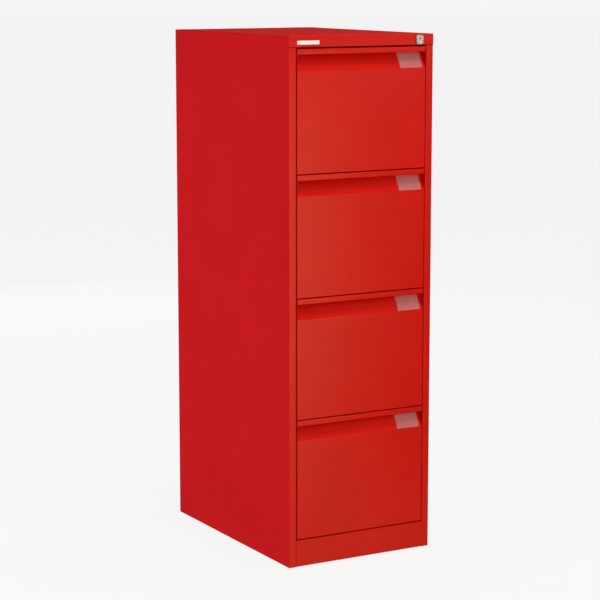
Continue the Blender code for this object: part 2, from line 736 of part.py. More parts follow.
def slide_meshes():
    """Six channel meshes, in the drawer's frame, shared by all the drawers."""
    meshes = {}
    for member, profile in slide_profiles().items():
        raised = shifted(profile, 0, SLIDE_HEIGHT)
        for side, outline in (("left", mirrored(raised)), ("right", raised)):
            body = prism(outline, "Y", SLIDE_FRONT, SLIDE_FRONT + SLIDE_LENGTH)
            meshes[side, member] = to_mesh(body, f"{side}_slide_{member}")
    return meshes


# ---- Assembly -----------------------------------------------------------------------------

def build_carcass(finishes):
    paint, zinc, chrome = finishes["paint"], finishes["zinc"], finishes["chrome"]
    carcass = empty("carcass", (0, 0, 0))
    place("left_side_panel", left_side_panel(), paint, carcass)
    place("right_side_panel", right_side_panel(), paint, carcass)
    place("top_panel", top_panel(), paint, carcass)
    place("back_panel", back_panel(), paint, carcass)
    place("plinth_rail", plinth_rail(), paint, carcass)
    place("base_pan", base_pan(), paint, carcass)
    for side, outline in (("left", mirrored(rear_post_outline())), ("right", rear_post_outline())):
        post = to_mesh(prism(outline, "Z", POST_FOOT, POST_TOP), f"{side}_rear_post")
        place(f"{side}_rear_post", post, zinc, carcass)
    for corner, place_xy in foot_places().items():
        place(f"{corner}_levelling_foot", levelling_foot(place_xy), finishes["plastic"], carcass)
    place("badge_plate", badge_plate(), finishes["badge"], carcass)
    place("lock_barrel", lock_barrel(), chrome, carcass)
    place("lock_clip", lock_clip(), zinc, carcass)
    for end, foot in GUIDE_FEET.items():
        name = f"lock_bar_{end}_guide"
        place(name, bar_guide(name, foot), zinc, carcass)
    return carcass


def build_lock(finishes, carcass):
    cylinder = empty("lock_cylinder", (LOCK_X, 0, LOCK_Z), carcass)
    place("lock_plug", lock_plug(), finishes["chrome"], cylinder)
    place("lock_cam", lock_cam(), finishes["zinc"], cylinder)
    rod = empty("lock_bar_travel", (0, 0, 0), carcass)
    place("lock_bar", lock_bar(), finishes["zinc"], rod)


def build_drawers(finishes, carcass):
    front, tray, label, catch = drawer_front(), drawer_tray(), label_holder(), catch_bracket()
    slides = slide_meshes()
    for drawer in range(DRAWER_COUNT):
        name = f"drawer_{drawer + 1}"
        corner = (0, FRONT, drawer_level(drawer))
        fixed = empty(f"{name}_runners", corner, carcass)
        halfway = empty(f"{name}_middle", corner, carcass)
        moving = empty(name, corner, carcass)
        place(f"{name}_front", front, finishes["paint"], moving)
        place(f"{name}_tray", tray, finishes["paint"], moving)
        place(f"{name}_label_holder", label, finishes["clear"], moving)
        place(f"{name}_catch_bracket", catch, finishes["zinc"], moving)
        holders = {"outer": fixed, "middle": halfway, "inner": moving}
        for (side, member), mesh in slides.items():
            place(f"{name}_{side}_slide_{member}", mesh, finishes["zinc"], holders[member])


def build():
    for item in list(bpy.data.objects):
        bpy.data.objects.remove(item)
    finishes = {
        "paint": material("red_powder_coat", (0.56, 0.014, 0.010), 0.38, 0.0),
        "zinc": material("zinc_plated_steel", (0.62, 0.63, 0.64), 0.35, 1.0),
        "chrome": material("nickel_plate", (0.72, 0.71, 0.69), 0.18, 1.0),
        "clear": material("clear_plastic", (0.85, 0.80, 0.80), 0.15, 0.0, alpha=0.4),
        "badge": material("white_enamel", (0.86, 0.86, 0.86), 0.30, 0.0),
        "plastic": material("black_plastic", (0.02, 0.02, 0.02), 0.50, 0.0),
    }
    carcass = build_carcass(finishes)
    build_lock(finishes, carcass)
    build_drawers(finishes, carcass)


build()
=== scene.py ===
import json
import math

import bmesh
import bpy
from mathutils import Matrix, Vector

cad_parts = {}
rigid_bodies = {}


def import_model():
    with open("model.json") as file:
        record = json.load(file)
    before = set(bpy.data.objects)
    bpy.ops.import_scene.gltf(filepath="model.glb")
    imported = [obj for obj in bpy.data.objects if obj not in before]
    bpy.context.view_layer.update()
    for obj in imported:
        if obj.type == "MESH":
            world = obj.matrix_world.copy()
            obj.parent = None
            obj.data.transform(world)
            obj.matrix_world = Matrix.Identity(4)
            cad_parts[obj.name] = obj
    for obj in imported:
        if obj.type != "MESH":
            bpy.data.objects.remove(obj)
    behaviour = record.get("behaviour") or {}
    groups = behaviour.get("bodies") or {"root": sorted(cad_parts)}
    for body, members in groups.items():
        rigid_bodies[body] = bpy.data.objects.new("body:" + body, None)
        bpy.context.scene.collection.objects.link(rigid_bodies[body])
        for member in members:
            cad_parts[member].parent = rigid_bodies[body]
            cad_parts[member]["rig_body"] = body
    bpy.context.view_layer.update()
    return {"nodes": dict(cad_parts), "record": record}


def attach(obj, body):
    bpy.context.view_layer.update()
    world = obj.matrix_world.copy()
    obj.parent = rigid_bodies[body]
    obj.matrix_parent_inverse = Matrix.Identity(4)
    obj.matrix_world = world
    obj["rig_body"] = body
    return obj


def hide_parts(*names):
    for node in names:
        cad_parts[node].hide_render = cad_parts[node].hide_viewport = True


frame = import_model()
nodes = frame["nodes"]
scene = bpy.context.scene
mm = 0.001
print("frame loaded:", len(nodes), "nodes")

cabinet = {
    "levels": [1.2913, 0.9861, 0.6809, 0.3757],     # the gap above each drawer
    "drawers": ["drawer_1", "drawer_2", "drawer_3", "drawer_4"],
}
drawers = list(zip(cabinet["drawers"], cabinet["levels"]))


def newFinish(name):
    finish = bpy.data.materials.new(name)
    finish.use_nodes = True
    tree = finish.node_tree
    tree.nodes.clear()
    shader = tree.nodes.new("ShaderNodeBsdfPrincipled")
    output = tree.nodes.new("ShaderNodeOutputMaterial")
    tree.links.new(shader.outputs["BSDF"], output.inputs["Surface"])
    place = tree.nodes.new("ShaderNodeTexCoord").outputs["Object"]
    return finish, tree, shader, place


def noiseValue(tree, place, scale, detail=2.0, stretch=(1, 1, 1), roughness=0.5):
    mapping = tree.nodes.new("ShaderNodeMapping")
    mapping.inputs["Scale"].default_value = stretch
    texture = tree.nodes.new("ShaderNodeTexNoise")
    texture.inputs["Scale"].default_value = scale
    texture.inputs["Detail"].default_value = detail
    texture.inputs["Roughness"].default_value = roughness
    tree.links.new(place, mapping.inputs["Vector"])
    tree.links.new(mapping.outputs["Vector"], texture.inputs["Vector"])
    return texture.outputs["Fac"]


def spread(tree, value, low, high, toLow=0.0, toHigh=1.0):
    ranged = tree.nodes.new("ShaderNodeMapRange")
    ranged.inputs["From Min"].default_value = low
    ranged.inputs["From Max"].default_value = high
    ranged.inputs["To Min"].default_value = toLow
    ranged.inputs["To Max"].default_value = toHigh
    tree.links.new(value, ranged.inputs["Value"])
    return ranged.outputs["Result"]


def blendColours(tree, factor, first, second):
    mix = tree.nodes.new("ShaderNodeMix")
    mix.data_type = "RGBA"
    colours = [socket for socket in mix.inputs if socket.type == "RGBA"]
    for socket, colour in zip(colours, (first, second)):
        if isinstance(colour, tuple):
            socket.default_value = (*colour, 1.0)
        else:
            tree.links.new(colour, socket)
    tree.links.new(factor, mix.inputs["Factor"])
    return [socket for socket in mix.outputs if socket.type == "RGBA"][0]


def mathNode(tree, first, second, operation):
    node = tree.nodes.new("ShaderNodeMath")
    node.operation = operation
    for socket, value in zip(node.inputs, (first, second)):
        if isinstance(value, (int, float)):
            socket.default_value = value
        else:
            tree.links.new(value, socket)
    return node.outputs["Value"]


def bumpFrom(tree, height, distance, strength=1.0, under=None):
    bump = tree.nodes.new("ShaderNodeBump")
    bump.inputs["Distance"].default_value = distance
    bump.inputs["Strength"].default_value = strength
    tree.links.new(height, bump.inputs["Height"])
    if under is not None:
        tree.links.new(under, bump.inputs["Normal"])
    return bump.outputs["Normal"]


def powderCoat(name, coat):
    finish, tree, shader, place = newFinish(name)
    cloudy = spread(tree, noiseValue(tree, place, coat["cloudScale"], 3.0), 0.3, 0.7)
    speckle = spread(tree, noiseValue(tree, place, coat["speckleScale"], 1.0), 0.42, 0.72)
    base = blendColours(tree, cloudy, coat["deep"], coat["light"])
    share = mathNode(tree, speckle, coat["speckle"], "MULTIPLY")
    tree.links.new(blendColours(tree, share, base, coat["fleck"]), shader.inputs["Base Color"])
    gloss = spread(tree, noiseValue(tree, place, coat["glossScale"], 4.0), 0.25, 0.75,
                   coat["roughness"] - coat["glossSpread"], coat["roughness"] + coat["glossSpread"])
    tree.links.new(gloss, shader.inputs["Roughness"])
    # three layers of relief: the sheet's own slow waves, the orange peel, and a fine grain
    waves = bumpFrom(tree, noiseValue(tree, place, coat["waveScale"], 1.0), coat["waveHeight"])
    peel = bumpFrom(tree, noiseValue(tree, place, coat["peelScale"], 1.5), coat["peelHeight"], under=waves)
    grain = bumpFrom(tree, noiseValue(tree, place, coat["grainScale"], 2.0), coat["grainHeight"], under=peel)
    tree.links.new(grain, shader.inputs["Normal"])
    shader.inputs["Specular IOR Level"].default_value = coat["specular"]
    return finish


redCoat = {
    "deep": (0.560, 0.0045, 0.0012),
    "light": (0.605, 0.0060, 0.0018),
    "fleck": (0.66, 0.012, 0.006),
    "cloudScale": 5.0, "speckleScale": 900.0, "speckle": 0.22,
    "glossScale": 36.0, "roughness": 0.21, "glossSpread": 0.025,
    "waveScale": 4.5, "waveHeight": 0.9 * mm,
    "peelScale": 420.0, "peelHeight": 0.030 * mm,
    "grainScale": 1700.0, "grainHeight": 0.010 * mm,
    "specular": 0.21,
}
paint = powderCoat("redPowderCoat", redCoat)


def platedSteel(name, plate):
    finish, tree, shader, place = newFinish(name)
    spangle = tree.nodes.new("ShaderNodeTexVoronoi")
    spangle.inputs["Scale"].default_value = plate["spangleScale"]
    tree.links.new(place, spangle.inputs["Vector"])
    facets = tree.nodes.new("ShaderNodeSeparateColor")
    tree.links.new(spangle.outputs["Color"], facets.inputs["Color"])
    drawn = noiseValue(tree, place, plate["drawnScale"], 3.0, plate["drawn"], 0.7)
    stain = spread(tree, noiseValue(tree, place, plate["stainScale"], 4.0), 0.45, 0.75)
    tone = blendColours(tree, facets.outputs["Red"], plate["dark"], plate["bright"])
    share = mathNode(tree, stain, plate["stain"], "MULTIPLY")
    tree.links.new(blendColours(tree, share, tone, plate["stained"]), shader.inputs["Base Color"])
    rough = spread(tree, drawn, 0.3, 0.7, plate["roughness"] - 0.07, plate["roughness"] + 0.09)
    tree.links.new(rough, shader.inputs["Roughness"])
    shader.inputs["Metallic"].default_value = plate["metallic"]
    lines = bumpFrom(tree, drawn, plate["relief"])
    tree.links.new(bumpFrom(tree, facets.outputs["Green"], plate["relief"] * 0.4, under=lines),
                   shader.inputs["Normal"])
    return finish


zinc = platedSteel("zincPlatedSteel", {
    "spangleScale": 240.0, "drawnScale": 320.0, "drawn": (3.0, 0.12, 3.0), "stainScale": 30.0,
    "dark": (0.50, 0.51, 0.53), "bright": (0.70, 0.71, 0.72), "stained": (0.42, 0.41, 0.38), "stain": 0.35,
    "roughness": 0.36, "relief": 0.012 * mm, "metallic": 0.72,
})
nickel = platedSteel("nickelPlate", {
    "spangleScale": 60.0, "drawnScale": 900.0, "drawn": (1.0, 1.0, 1.0), "stainScale": 90.0,
    "dark": (0.66, 0.65, 0.62), "bright": (0.74, 0.73, 0.70), "stained": (0.60, 0.57, 0.52), "stain": 0.2,
    "roughness": 0.22, "relief": 0.004 * mm, "metallic": 0.80,
})
ballSteel = platedSteel("ballSteel", {
    "spangleScale": 500.0, "drawnScale": 1200.0, "drawn": (1.0, 1.0, 1.0), "stainScale": 200.0,
    "dark": (0.56, 0.57, 0.59), "bright": (0.66, 0.67, 0.69), "stained": (0.40, 0.36, 0.28), "stain": 0.3,
    "roughness": 0.16, "relief": 0.002 * mm, "metallic": 0.85,
})


def mouldedFinish(name, mould):
    finish, tree, shader, place = newFinish(name)
    mottle = spread(tree, noiseValue(tree, place, mould["mottleScale"], 4.0), 0.3, 0.7)
    tree.links.new(blendColours(tree, mottle, mould["first"], mould["second"]), shader.inputs["Base Color"])
    tree.links.new(spread(tree, noiseValue(tree, place, mould["glossScale"], 3.0), 0.3, 0.7,
                          mould["roughness"] - mould["glossSpread"], mould["roughness"] + mould["glossSpread"]),
                   shader.inputs["Roughness"])
    slow = bumpFrom(tree, noiseValue(tree, place, mould["slowScale"], 1.0), mould["slowHeight"])
    tree.links.new(bumpFrom(tree, noiseValue(tree, place, mould["grainScale"], 2.0), mould["grainHeight"],
                            under=slow), shader.inputs["Normal"])
    shader.inputs["Specular IOR Level"].default_value = mould.get("specular", 0.5)
    shader.inputs["Alpha"].default_value = mould.get("alpha", 1.0)
    return finish


enamel = mouldedFinish("whiteEnamel", {
    "first": (0.80, 0.80, 0.80), "second": (0.88, 0.88, 0.87), "mottleScale": 90.0,
    "glossScale": 260.0, "roughness": 0.28, "glossSpread": 0.04,
    "slowScale": 160.0, "slowHeight": 0.02 * mm, "grainScale": 1500.0, "grainHeight": 0.006 * mm,
})
clearPlastic = mouldedFinish("clearPlastic", {
    "first": (0.60, 0.56, 0.55), "second": (0.68, 0.64, 0.63), "mottleScale": 60.0,
    "glossScale": 220.0, "roughness": 0.16, "glossSpread": 0.05,
    "slowScale": 90.0, "slowHeight": 0.05 * mm, "grainScale": 2200.0, "grainHeight": 0.003 * mm,
    "alpha": 0.13,
})
blackPlastic = mouldedFinish("blackPlastic", {
    "first": (0.016, 0.016, 0.017), "second": (0.028, 0.028, 0.029), "mottleScale": 120.0,
    "glossScale": 300.0, "roughness": 0.52, "glossSpread": 0.08,
    "slowScale": 200.0, "slowHeight": 0.05 * mm, "grainScale": 1400.0, "grainHeight": 0.03 * mm,
})
print("finishes made")

slotFinishes = {
    "red_powder_coat": paint, "zinc_plated_steel": zinc, "nickel_plate": nickel,
    "white_enamel": enamel, "clear_plastic": clearPlastic, "black_plastic": blackPlastic,
}
nodeSlots = {part["node"]: part["material_slot"] for part in frame["record"]["subparts"]}


def finished(mesh, name, material, smoothAngle=40):
    mesh.materials.clear()
    mesh.materials.append(material)
    mesh.shade_smooth()
    mesh.set_sharp_from_angle(angle=math.radians(smoothAngle))
    piece = bpy.data.objects.new(name, mesh)
    scene.collection.objects.link(piece)
    return piece


def weighted(piece):
    # big flat faces keep their own shading, and the small bends blend between them
    modifier = piece.modifiers.new("evenShading", "WEIGHTED_NORMAL")
    modifier.keep_sharp = True
    graph = bpy.context.evaluated_depsgraph_get()
    mesh = bpy.data.meshes.new_from_object(piece.evaluated_get(graph), preserve_all_data_layers=True,
                                           depsgraph=graph)
    piece.modifiers.clear()
    piece.data = mesh
    return piece


def settle(piece, body, replaced=()):
    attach(piece, body)
    if replaced:
        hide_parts(*replaced)
    return piece


def bodyOf(node):
    return nodes[node]["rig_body"]


def softenedCopy(node, edge, sharpest=50, segments=2):
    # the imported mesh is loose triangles, so they are joined and cleaned before the edges are eased
    body = bmesh.new()
    body.from_mesh(nodes[node].data)
    bmesh.ops.remove_doubles(body, verts=body.verts[:], dist=2e-6)
    bmesh.ops.dissolve_limit(body, angle_limit=math.radians(1.0), verts=body.verts[:], edges=body.edges[:])
    crisp = [item for item in body.edges
             if len(item.link_faces) == 2 and item.calc_face_angle(0) > math.radians(sharpest)]
    if crisp and edge:
        bmesh.ops.bevel(body, geom=crisp, offset=edge, segments=segments, profile=0.5, affect="EDGES",
                        clamp_overlap=True)
    bmesh.ops.recalc_face_normals(body, faces=body.faces[:])
    mesh = bpy.data.meshes.new(node)
    body.to_mesh(mesh)
    body.free()
    return mesh


def latheBody(body, profile, steps, centre=(0, 0, 0), axis="Z"):
    # profile points are (radius, height); a radius of zero closes the end
    turn = {"Z": Matrix.Identity(3), "Y": Matrix.Rotation(math.radians(90), 3, "X"),
            "X": Matrix.Rotation(math.radians(90), 3, "Y")}[axis]
    rings = []
    for radius, height in profile:
        if radius == 0:
            rings.append([body.verts.new(turn @ Vector((0, 0, height)) + Vector(centre))])
            continue
        ring = []
        for step in range(steps):
            angle = math.tau * step / steps
            point = Vector((radius * math.cos(angle), radius * math.sin(angle), height))
            ring.append(body.verts.new(turn @ point + Vector(centre)))
        rings.append(ring)
    for low, high in zip(rings, rings[1:]):
        for step in range(steps):
            following = (step + 1) % steps
            corners = [low[step % len(low)], low[following % len(low)],
                       high[following % len(high)], high[step % len(high)]]
            unique = list(dict.fromkeys(corners))
            if len(unique) > 2:
                body.faces.new(unique)
    for ring, flip in ((rings[0], True), (rings[-1], False)):
        if len(ring) > 1:
            body.faces.new(ring[::-1] if flip else ring)


def latheMesh(name, profile, steps, centre=(0, 0, 0), axis="Z"):
    body = bmesh.new()
    latheBody(body, profile, steps, centre, axis)
    return bodyMesh(body, name)


def bodyMesh(body, name):
    bmesh.ops.recalc_face_normals(body, faces=body.faces[:])
    mesh = bpy.data.meshes.new(name)
    body.to_mesh(mesh)
    body.free()
    return mesh


def cutMesh(mesh, tools, name, operation="DIFFERENCE"):
    holder = bpy.data.objects.new(name, mesh)
    scene.collection.objects.link(holder)
    helpers = []
    for tool in tools:
        helper = bpy.data.objects.new("cutter", tool)
        scene.collection.objects.link(helper)
        modifier = holder.modifiers.new("cut", "BOOLEAN")
        modifier.operation = operation
        modifier.object = helper
        helpers.append(helper)
    graph = bpy.context.evaluated_depsgraph_get()
    result = bpy.data.meshes.new_from_object(holder.evaluated_get(graph), depsgraph=graph)
    result.name = name
    for item in [holder] + helpers:
        bpy.data.objects.remove(item)
    return result


# on the folded sheets every cut edge is eased and every bend shades smoothly
sheets = {
    "shellEdge": 0.22 * mm, "frontEdge": 0.18 * mm, "trayEdge": 0.16 * mm, "slideEdge": 0.22 * mm,
    "postEdge": 0.25 * mm, "barEdge": 0.25 * mm, "labelEdge": 0.30 * mm, "badgeEdge": 0.28 * mm,
    "clipEdge": 0.20 * mm, "footEdge": 0.30 * mm,
}


def edgeFor(node):
    if node.endswith("_front"):
        return sheets["frontEdge"]
    if node.endswith("_tray"):
        return sheets["trayEdge"]
    if "_slide_" in node:
        return sheets["slideEdge"]
    if node.endswith("_label_holder"):
        return sheets["labelEdge"]
    if "post" in node:
        return sheets["postEdge"]
    if node == "badge_plate":
        return sheets["badgeEdge"]
    if node.startswith("lock_bar") or "catch" in node:
        return sheets["barEdge"]
    if node in ("lock_clip", "lock_cam"):
        return sheets["clipEdge"]
    if node.endswith("_foot"):
        return sheets["footEdge"]
    return sheets["shellEdge"]


madeElsewhere = {"lock_barrel", "lock_plug"}
for node in sorted(nodes):
    if node in madeElsewhere:
        continue
    slot = nodeSlots[node]
    piece = finished(softenedCopy(node, edgeFor(node)), node + "_shown", slotFinishes[slot])
    settle(weighted(piece), bodyOf(node), [node])
print("sheets eased")


# the lock is a bezel, a barrel behind it and a turning plug
lock = {
    "centre": (0.1648, 1.3066), "face": -0.311, "seat": -0.3063, "rear": -0.280,
    "halfWidth": 10.25 * mm, "halfHeight": 11.65 * mm, "power": 4.0, "round": 1.5 * mm,
    "barrelRadius": 9.5 * mm, "boreRadius": 6.4 * mm, "plugRadius": 6.3 * mm, "plugFace": -0.3105,
    "keyWidth": 2.8 * mm, "keyLow": -1.4 * mm, "keyHigh": 5.2 * mm, "keyDepth": 4.0 * mm,
    "threads": 12, "threadDepth": 0.35 * mm, "steps": 96,
}


def squircleRing(body, shrink, y):
    centreX, centreZ = lock["centre"]
    ring = []
    for step in range(lock["steps"]):
        angle = math.tau * step / lock["steps"]
        cosine, sine = math.cos(angle), math.sin(angle)
        x = math.copysign(abs(cosine) ** (2 / lock["power"]), cosine) * (lock["halfWidth"] - shrink)
        z = math.copysign(abs(sine) ** (2 / lock["power"]), sine) * (lock["halfHeight"] - shrink)
        ring.append(body.verts.new((centreX + x, y, centreZ + z)))
    return ring


def lockBarrelMesh():
    body = bmesh.new()
    rings = [squircleRing(body, lock["round"] + 0.4 * mm, lock["face"])]
    for step in range(7):
        angle = math.pi / 2 * step / 6
        shrink = lock["round"] * (1 - math.sin(angle))
        rings.append(squircleRing(body, shrink, lock["face"] + lock["round"] * (1 - math.cos(angle)) + 0.02 * mm))
    rings.append(squircleRing(body, 0, lock["seat"] - 0.3 * mm))
    rings.append(squircleRing(body, 0.3 * mm, lock["seat"]))
    for low, high in zip(rings, rings[1:]):
        for step in range(lock["steps"]):
            following = (step + 1) % lock["steps"]
            body.faces.new((low[step], low[following], high[following], high[step]))
    body.faces.new(rings[0][::-1])
    body.faces.new(rings[-1])
    bezel = bodyMesh(body, "bezel")
    centre = (lock["centre"][0], 0, lock["centre"][1])
    radius, depth = lock["barrelRadius"], lock["rear"] - lock["seat"]
    # the barrel behind the header has shallow thread rings, where a nut could run
    stem = [(radius, lock["seat"] - 1 * mm)]
    pitch = depth * 0.60 / lock["threads"]
    for turn in range(lock["threads"]):
        low = lock["seat"] + depth * 0.30 + pitch * turn
        stem += [(radius, low + 0.15 * pitch), (radius - lock["threadDepth"], low + 0.5 * pitch),
                 (radius, low + 0.85 * pitch)]
    stem += [(radius, lock["rear"] - 0.4 * mm), (radius - 0.4 * mm, lock["rear"])]
    barrel = latheMesh("barrel", [(r, -y) for r, y in stem], 64, centre, "Y")
    joined = cutMesh(bezel, [barrel], "barrelSolid", "UNION")
    bore = latheMesh("bore", [(lock["boreRadius"] + 0.5 * mm, 0.312), (lock["boreRadius"] + 0.5 * mm, 0.311),
                              (lock["boreRadius"], 0.3105), (lock["boreRadius"], 0.279)], 64, centre, "Y")
    return cutMesh(joined, [bore], "lockBarrel")


def boxMesh(name, low, high):
    body = bmesh.new()
    bmesh.ops.create_cube(body, size=1)
    for vertex in body.verts:
        for axis in range(3):
            vertex.co[axis] = low[axis] if vertex.co[axis] < 0 else high[axis]
    return bodyMesh(body, name)


def lockPlugMesh():
    centre = (lock["centre"][0], 0, lock["centre"][1])
    face, radius = -lock["plugFace"], lock["plugRadius"]
    profile = [(radius - 0.25 * mm, face), (radius, face - 0.25 * mm),
               (radius, 0.2803), (radius - 0.3 * mm, 0.2800)]
    plug = latheMesh("plug", profile, 64, centre, "Y")
    x, z = lock["centre"]
    half = lock["keyWidth"] / 2
    mouth = boxMesh("mouth", (x - half, -0.312, z + lock["keyLow"]),
                    (x + half, lock["plugFace"] + lock["keyDepth"], z + lock["keyHigh"]))
    # one warding groove on each side of the keyway
    groove = boxMesh("groove", (x - half - 0.5 * mm, -0.312, z + 0.6 * mm),
                     (x, lock["plugFace"] + lock["keyDepth"] - 0.3 * mm, z + 1.4 * mm))
    second = boxMesh("second", (x, -0.312, z + 2.6 * mm),
                     (x + half + 0.5 * mm, lock["plugFace"] + lock["keyDepth"] - 0.3 * mm, z + 3.3 * mm))
    return cutMesh(plug, [mouth, groove, second], "lockPlug")


piece = finished(lockBarrelMesh(), "lock_barrel_shown", nickel, 35)
settle(weighted(piece), "carcass", ["lock_barrel"])
piece = finished(lockPlugMesh(), "lock_plug_shown", nickel, 35)
settle(weighted(piece), "lock_cylinder", ["lock_plug"])
print("lock made")


# one node tree lays out all the small hardware
def hardwareTree():
    tree = bpy.data.node_groups.new("hardwareOnPoints", "GeometryNodeTree")
    for label, kind in (("Points", "NodeSocketGeometry"), ("Shape", "NodeSocketObject"),
                        ("Finish", "NodeSocketMaterial"), ("Spin", "NodeSocketFloat"), ("Seed", "NodeSocketInt")):
        tree.interface.new_socket(label, in_out="INPUT", socket_type=kind)
    tree.interface.new_socket("Hardware", in_out="OUTPUT", socket_type="NodeSocketGeometry")
    start = tree.nodes.new("NodeGroupInput")
    end = tree.nodes.new("NodeGroupOutput")
    points = tree.nodes.new("GeometryNodeMeshToPoints")
    shape = tree.nodes.new("GeometryNodeObjectInfo")
    facing = tree.nodes.new("GeometryNodeInputNamedAttribute")
    facing.data_type = "FLOAT_VECTOR"
    facing.inputs["Name"].default_value = "facing"
    turned = tree.nodes.new("FunctionNodeEulerToRotation")
    place = tree.nodes.new("GeometryNodeInstanceOnPoints")
    spin = tree.nodes.new("FunctionNodeRandomValue")
    spin.data_type = "FLOAT"
    about = tree.nodes.new("ShaderNodeCombineXYZ")
    rotate = tree.nodes.new("GeometryNodeRotateInstances")
    realize = tree.nodes.new("GeometryNodeRealizeInstances")
    coat = tree.nodes.new("GeometryNodeSetMaterial")
    link = tree.links.new
    link(start.outputs["Points"], points.inputs["Mesh"])
    link(start.outputs["Shape"], shape.inputs["Object"])
    link(points.outputs["Points"], place.inputs["Points"])
    link(shape.outputs["Geometry"], place.inputs["Instance"])
    link(facing.outputs["Attribute"], turned.inputs["Euler"])
    link(turned.outputs["Rotation"], place.inputs["Rotation"])
    link(start.outputs["Spin"], spin.inputs[3])                  # upper bound of the random turn
    link(start.outputs["Seed"], spin.inputs["Seed"])
    link(spin.outputs[1], about.inputs["Z"])
    link(place.outputs["Instances"], rotate.inputs["Instances"])
    link(about.outputs["Vector"], rotate.inputs["Rotation"])
    link(rotate.outputs["Instances"], realize.inputs["Geometry"])
    link(realize.outputs["Geometry"], coat.inputs["Geometry"])
    link(start.outputs["Finish"], coat.inputs["Material"])
    link(coat.outputs["Geometry"], end.inputs["Hardware"])
    return tree


hardware = hardwareTree()
socketNames = {item.name: item.identifier for item in hardware.interface.items_tree if item.in_out == "INPUT"}
facings = {
    "up": (0, 0, 0), "rear": (-math.pi / 2, 0, 0),
    "left": (0, -math.pi / 2, 0), "right": (0, math.pi / 2, 0),
}


def hardwarePiece(name, shape, spots, material, body, spin=0.0, seed=1, smoothAngle=40):
    # spots are (x, y, z, facing); the shape is drawn at the origin with its head towards +Z
    mesh = bpy.data.meshes.new(name + "Points")
    mesh.from_pydata([spot[:3] for spot in spots], [], [])
    attribute = mesh.attributes.new("facing", "FLOAT_VECTOR", "POINT")
    for index, spot in enumerate(spots):
        attribute.data[index].vector = facings[spot[3]]
    layout = bpy.data.objects.new(name + "Layout", mesh)
    master = bpy.data.objects.new(name + "Master", shape)
    scene.collection.objects.link(layout)
    scene.collection.objects.link(master)
    modifier = layout.modifiers.new("hardware", "NODES")
    modifier.node_group = hardware
    for label, value in (("Shape", master), ("Finish", material), ("Spin", spin), ("Seed", seed)):
        modifier[socketNames[label]] = value
    layout.update_tag()
    graph = bpy.context.evaluated_depsgraph_get()
    result = bpy.data.meshes.new_from_object(layout.evaluated_get(graph), depsgraph=graph)
    for item in (layout, master):
        bpy.data.objects.remove(item)
    for extra in [item.name for item in result.attributes if item.name == "facing"]:
        result.attributes.remove(result.attributes[extra])
    piece = finished(result, name, material, smoothAngle)
    return settle(piece, body)


def domeShape(name, radius, height, steps=14, rings=3, sink=0.1 * mm):
    profile = [(radius, -sink)]
    for ring in range(rings + 1):
        angle = math.pi / 2 * ring / rings
        profile.append((radius * math.cos(angle) if ring < rings else 0, height * math.sin(angle)))
    return latheMesh(name, profile, steps)


def screwShape(name, radius, height):
    head = latheMesh(name + "Head", [(radius, -0.1 * mm), (radius, height * 0.45), (radius * 0.86, height * 0.85),
                                     (radius * 0.5, height), (0, height)], 18)
    arm, reach = radius * 0.17, radius * 0.62
    bars = [boxMesh("bar", (-reach, -arm, height * 0.45), (reach, arm, height * 2)),
            boxMesh("bar", (-arm, -reach, height * 0.45), (arm, reach, height * 2))]
    return cutMesh(head, bars, name)


def weldShape(name, radius):
    return latheMesh(name, [(radius * 1.25, -0.05 * mm), (radius * 1.1, 0.10 * mm), (radius * 0.9, 0.12 * mm),
                            (radius * 0.6, 0.02 * mm), (0, 0.0)], 16)


slides = {
    "height": -0.180,
    "outerWeb": 0.1857 - 1.2 * mm, "innerWeb": 0.1728 + 1.2 * mm,
    "outerBall": 1.6 * mm, "innerBall": 1.9 * mm, "outerRow": 19.95 * mm, "innerRow": 15.03 * mm,
    "outerSpan": (0.006, 0.262), "innerSpan": (-0.262, -0.004), "ballStep": 23.0 * mm,
    "outerAcross": 0.17975, "innerAcross": 0.1772,
}


def spanPoints(span, step):
    count = int((span[1] - span[0]) / step)
    return [span[0] + (span[1] - span[0]) * index / count for index in range(count + 1)]


def ballShape(name, radius):
    # hundreds of balls are made, so each has only a few faces
    profile = [(radius * math.cos(math.radians(turn)), radius * math.sin(math.radians(turn)))
               for turn in (-54, -18, 18, 54)]
    return latheMesh(name, [(0, -radius)] + profile + [(0, radius)], 9)


ballShapes = {row: ballShape(row + "BallShape", slides[row + "Ball"]) for row in ("outer", "inner")}

for drawer, level in drawers:
    height = level + slides["height"]
    for row in ("outer", "inner"):
        places = spanPoints(slides[row + "Span"], slides["ballStep"])
        spots = [(side * slides[row + "Across"], y, height + up * slides[row + "Row"], "up")
                 for side in (-1, 1) for up in (-1, 1) for y in places]
        hardwarePiece(f"{drawer}_{row}_slide_balls", ballShapes[row].copy(), spots, ballSteel,
                      drawer + "_middle_slides", smoothAngle=180)


def channelBody(body, path, sheet, low, high, side):
    # a thin channel along Y; the path is one face and the sheet lies towards the inside
    def offsetLoop(points, distance):
        loop = []
        for index, point in enumerate(points):
            before = points[max(index - 1, 0)]
            after = points[min(index + 1, len(points) - 1)]
            direction = (Vector(after) - Vector(before)).normalized()
            scale = 1.0 if index in (0, len(points) - 1) else math.sqrt(2)
            loop.append((point[0] - direction.y * distance * scale, point[1] + direction.x * distance * scale))
        return loop
    outline = list(path) + offsetLoop(path, sheet)[::-1]
    rings = [[body.verts.new((side * x, y, z)) for x, z in outline] for y in (low, high)]
    for index in range(len(outline)):
        following = (index + 1) % len(outline)
        body.faces.new((rings[0][index], rings[0][following], rings[1][following], rings[1][index]))
    body.faces.new(rings[0][::-1])
    body.faces.new(rings[1])


